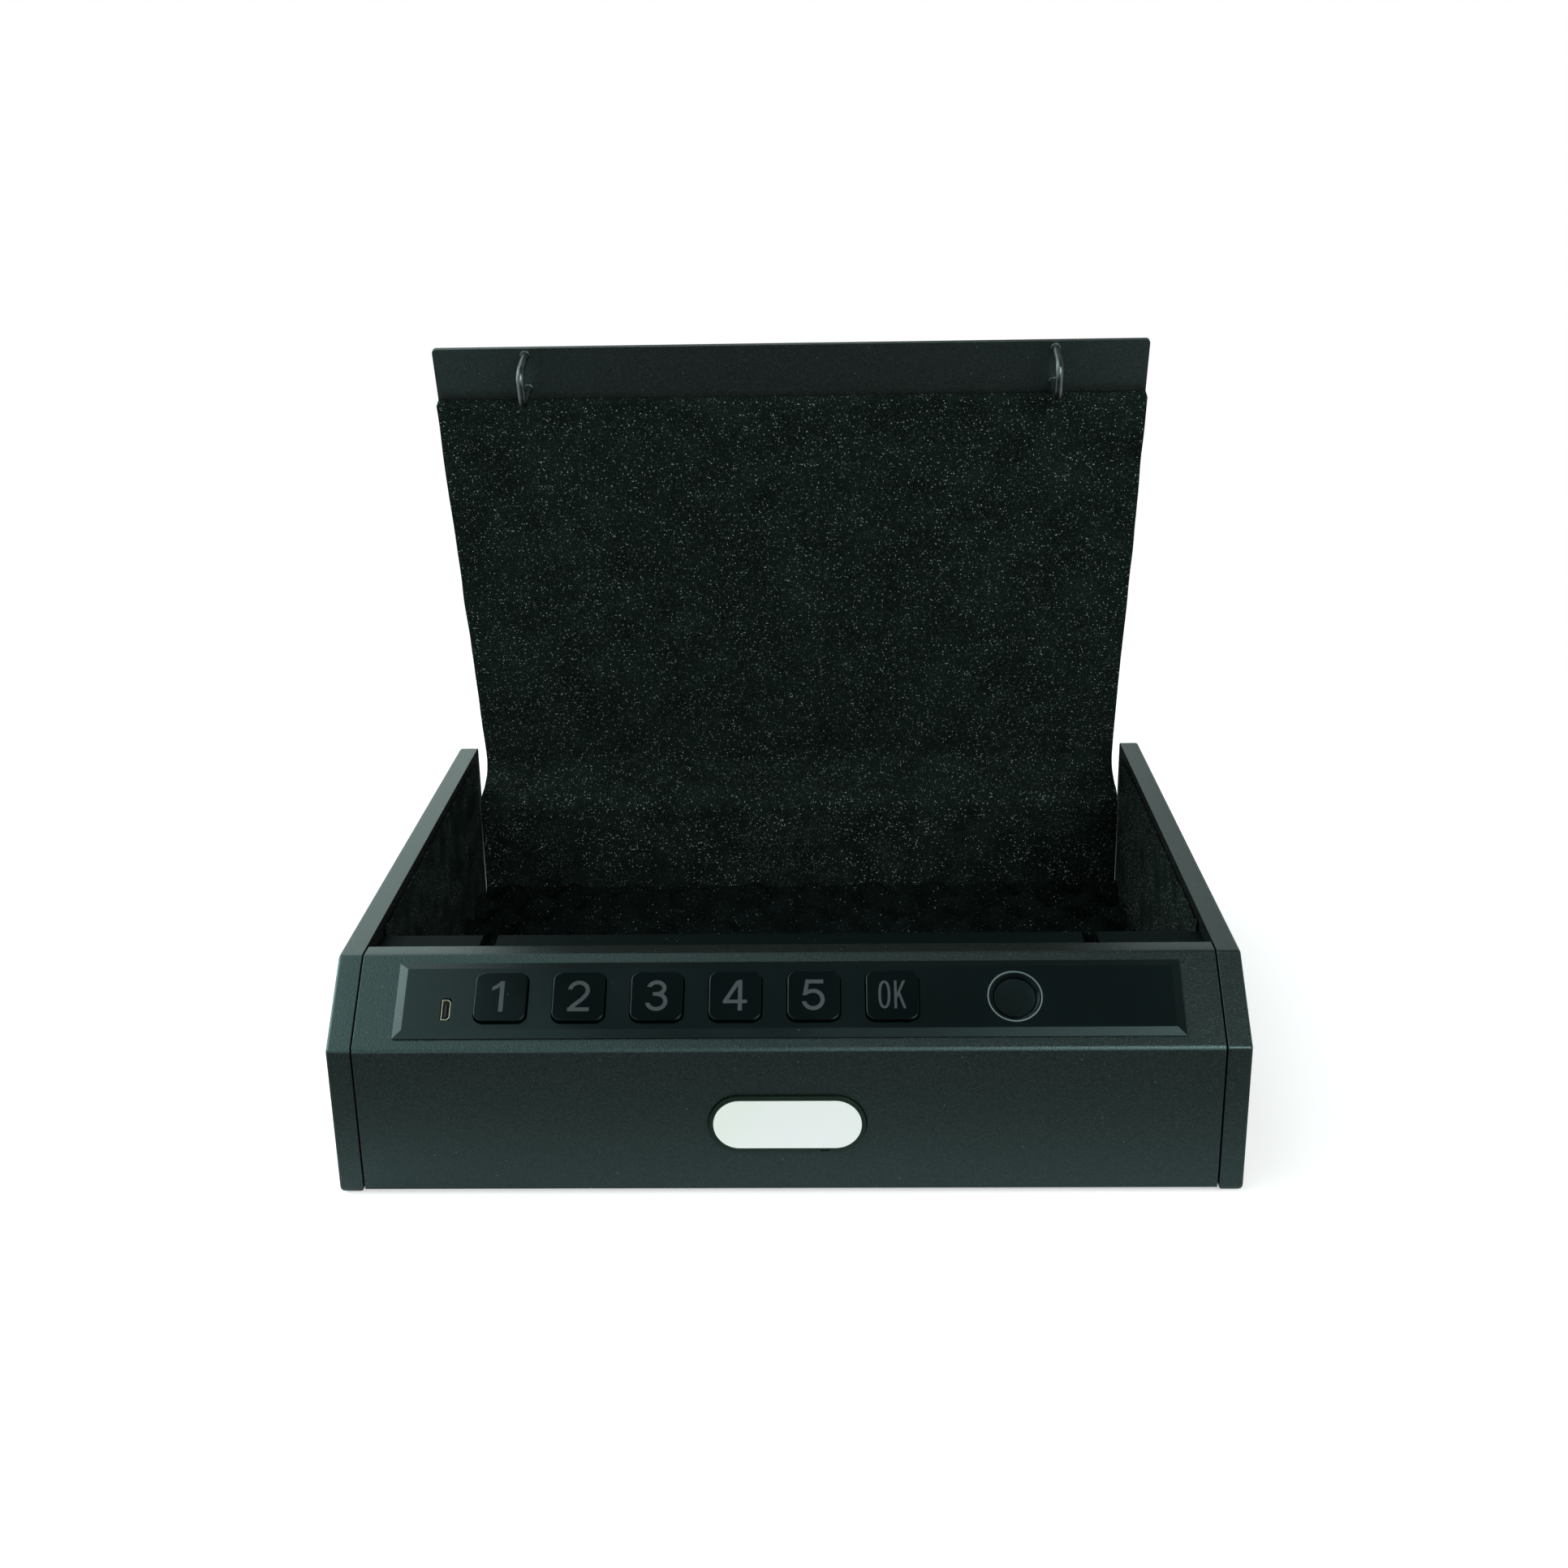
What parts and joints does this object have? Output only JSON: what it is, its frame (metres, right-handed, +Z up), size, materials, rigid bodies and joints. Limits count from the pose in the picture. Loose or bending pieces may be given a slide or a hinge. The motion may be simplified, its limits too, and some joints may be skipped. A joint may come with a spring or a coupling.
{
  "type": "portable car safe",
  "caption": "Low steel car safe with a sloped keypad and fingerprint panel, a rear-hinged foam-lined lid with wire strikers and a motor-driven lock bar.",
  "frame": {"origin": "on the floor, under the middle of the open safe's outline", "axes": "+X along the front to the user's right, +Y from the front to the back, +Z up"},
  "size_m": [0.315, 0.2836, 0.2666],
  "materials": {
    "powder_coat": "semi-matt black powder coat with fine orange peel",
    "gloss_panel": "glossy black plastic",
    "keycap": "glossy black keycap with a grey legend",
    "foam": "black open-cell foam",
    "plated_steel": "zinc-plated steel",
    "wire_steel": "dark bright wire",
    "brass": "plain brass",
    "badge_white": "white plastic",
    "ring_grey": "light grey translucent plastic",
    "board_green": "circuit board",
    "dark_plastic": "matt black plastic",
    "cell_sleeve": "printed cell sleeve"
  },
  "bodies": {
    "case": {"base_pan": "powder_coat", "front_shell": "powder_coat", "left_end_plate": "powder_coat", "right_end_plate": "powder_coat", "lock_housing": "powder_coat", "keypad_bezel": "gloss_panel", "fingerprint_sensor": "gloss_panel", "back_foam": "foam", "side_foam_left": "foam", "side_foam_right": "foam", "floor_foam": "foam", "bar_bracket": "plated_steel", "guide_pin_left": "plated_steel", "guide_pin_right": "plated_steel", "motor_mount": "plated_steel", "gear_motor": "plated_steel", "lock_cylinder": "plated_steel", "hinge_leaf_case": "plated_steel", "hinge_pin": "plated_steel", "lid_spring_left": "wire_steel", "lid_spring_right": "wire_steel", "lock_nut": "brass", "usb_port": "brass", "fingerprint_ring": "ring_grey", "keypad_board": "board_green", "battery_box": "dark_plastic", "battery_1": "cell_sleeve", "battery_2": "cell_sleeve", "battery_3": "cell_sleeve", "battery_4": "cell_sleeve"},
    "lid": {"lid_shell": "powder_coat", "lid_foam": "foam", "striker_left": "wire_steel", "striker_right": "wire_steel", "hinge_leaf_lid": "plated_steel"},
    "lock_bar": {"lock_bar": "plated_steel"},
    "drive_pinion": {"drive_pinion": "brass"},
    "override_key": {"key_plug": "brass", "key_cam": "plated_steel"},
    "badge": {"badge_rim": "gloss_panel", "badge_insert": "badge_white"},
    "battery_door": {"battery_door": "dark_plastic"},
    "key_1": {"key_1": "keycap"},
    "key_2": {"key_2": "keycap"},
    "key_3": {"key_3": "keycap"},
    "key_4": {"key_4": "keycap"},
    "key_5": {"key_5": "keycap"},
    "key_ok": {"key_ok": "keycap"}
  },
  "joints": [
    {"name": "lid_hinge", "type": "hinge", "parent": "case", "child": "lid", "pos_m": [0, 0.11544, 0.0505], "axis": [1, 0, 0], "range_deg": [0, 72.7], "stiffness_Nm_per_rad": 0.3, "springref_deg": -31.51, "deforming": ["lid_spring_left", "lid_spring_right"]},
    {"name": "lock_bar_slide", "type": "slide", "parent": "case", "child": "lock_bar", "axis": [1, 0, 0], "range_m": [0, 0.008]},
    {"name": "pinion_turn", "type": "hinge", "parent": "case", "child": "drive_pinion", "pos_m": [-0.045, -0.09106, 0.03675], "axis": [0, 1, 0], "range_deg": [-5, 81.39]},
    {"name": "override_key_turn", "type": "hinge", "parent": "case", "child": "override_key", "pos_m": [0, -0.12956, 0.02795], "axis": [0, 1, 0], "range_deg": [-90, 0]},
    {"name": "badge_pull", "type": "slide", "parent": "case", "child": "badge", "axis": [0, -1, 0], "range_m": [0, 0.012]},
    {"name": "battery_door_pull", "type": "slide", "parent": "case", "child": "battery_door", "axis": [0, 1, 0], "range_m": [0, 0.012]},
    {"name": "key_1_press", "type": "slide", "parent": "case", "child": "key_1", "axis": [0, 0.638, -0.77], "range_m": [0, 0.0012], "stiffness_N_per_m": 500, "springref_m": -0.0006},
    {"name": "key_2_press", "type": "slide", "parent": "case", "child": "key_2", "axis": [0, 0.638, -0.77], "range_m": [0, 0.0012], "stiffness_N_per_m": 500, "springref_m": -0.0006},
    {"name": "key_3_press", "type": "slide", "parent": "case", "child": "key_3", "axis": [0, 0.638, -0.77], "range_m": [0, 0.0012], "stiffness_N_per_m": 500, "springref_m": -0.0006},
    {"name": "key_4_press", "type": "slide", "parent": "case", "child": "key_4", "axis": [0, 0.638, -0.77], "range_m": [0, 0.0012], "stiffness_N_per_m": 500, "springref_m": -0.0006},
    {"name": "key_5_press", "type": "slide", "parent": "case", "child": "key_5", "axis": [0, 0.638, -0.77], "range_m": [0, 0.0012], "stiffness_N_per_m": 500, "springref_m": -0.0006},
    {"name": "key_ok_press", "type": "slide", "parent": "case", "child": "key_ok", "axis": [0, 0.638, -0.77], "range_m": [0, 0.0012], "stiffness_N_per_m": 500, "springref_m": -0.0006}
  ],
  "couplings": [
    {"joint": "pinion_turn", "follows": "lock_bar_slide", "rad_per_m": 166.67}
  ]
}
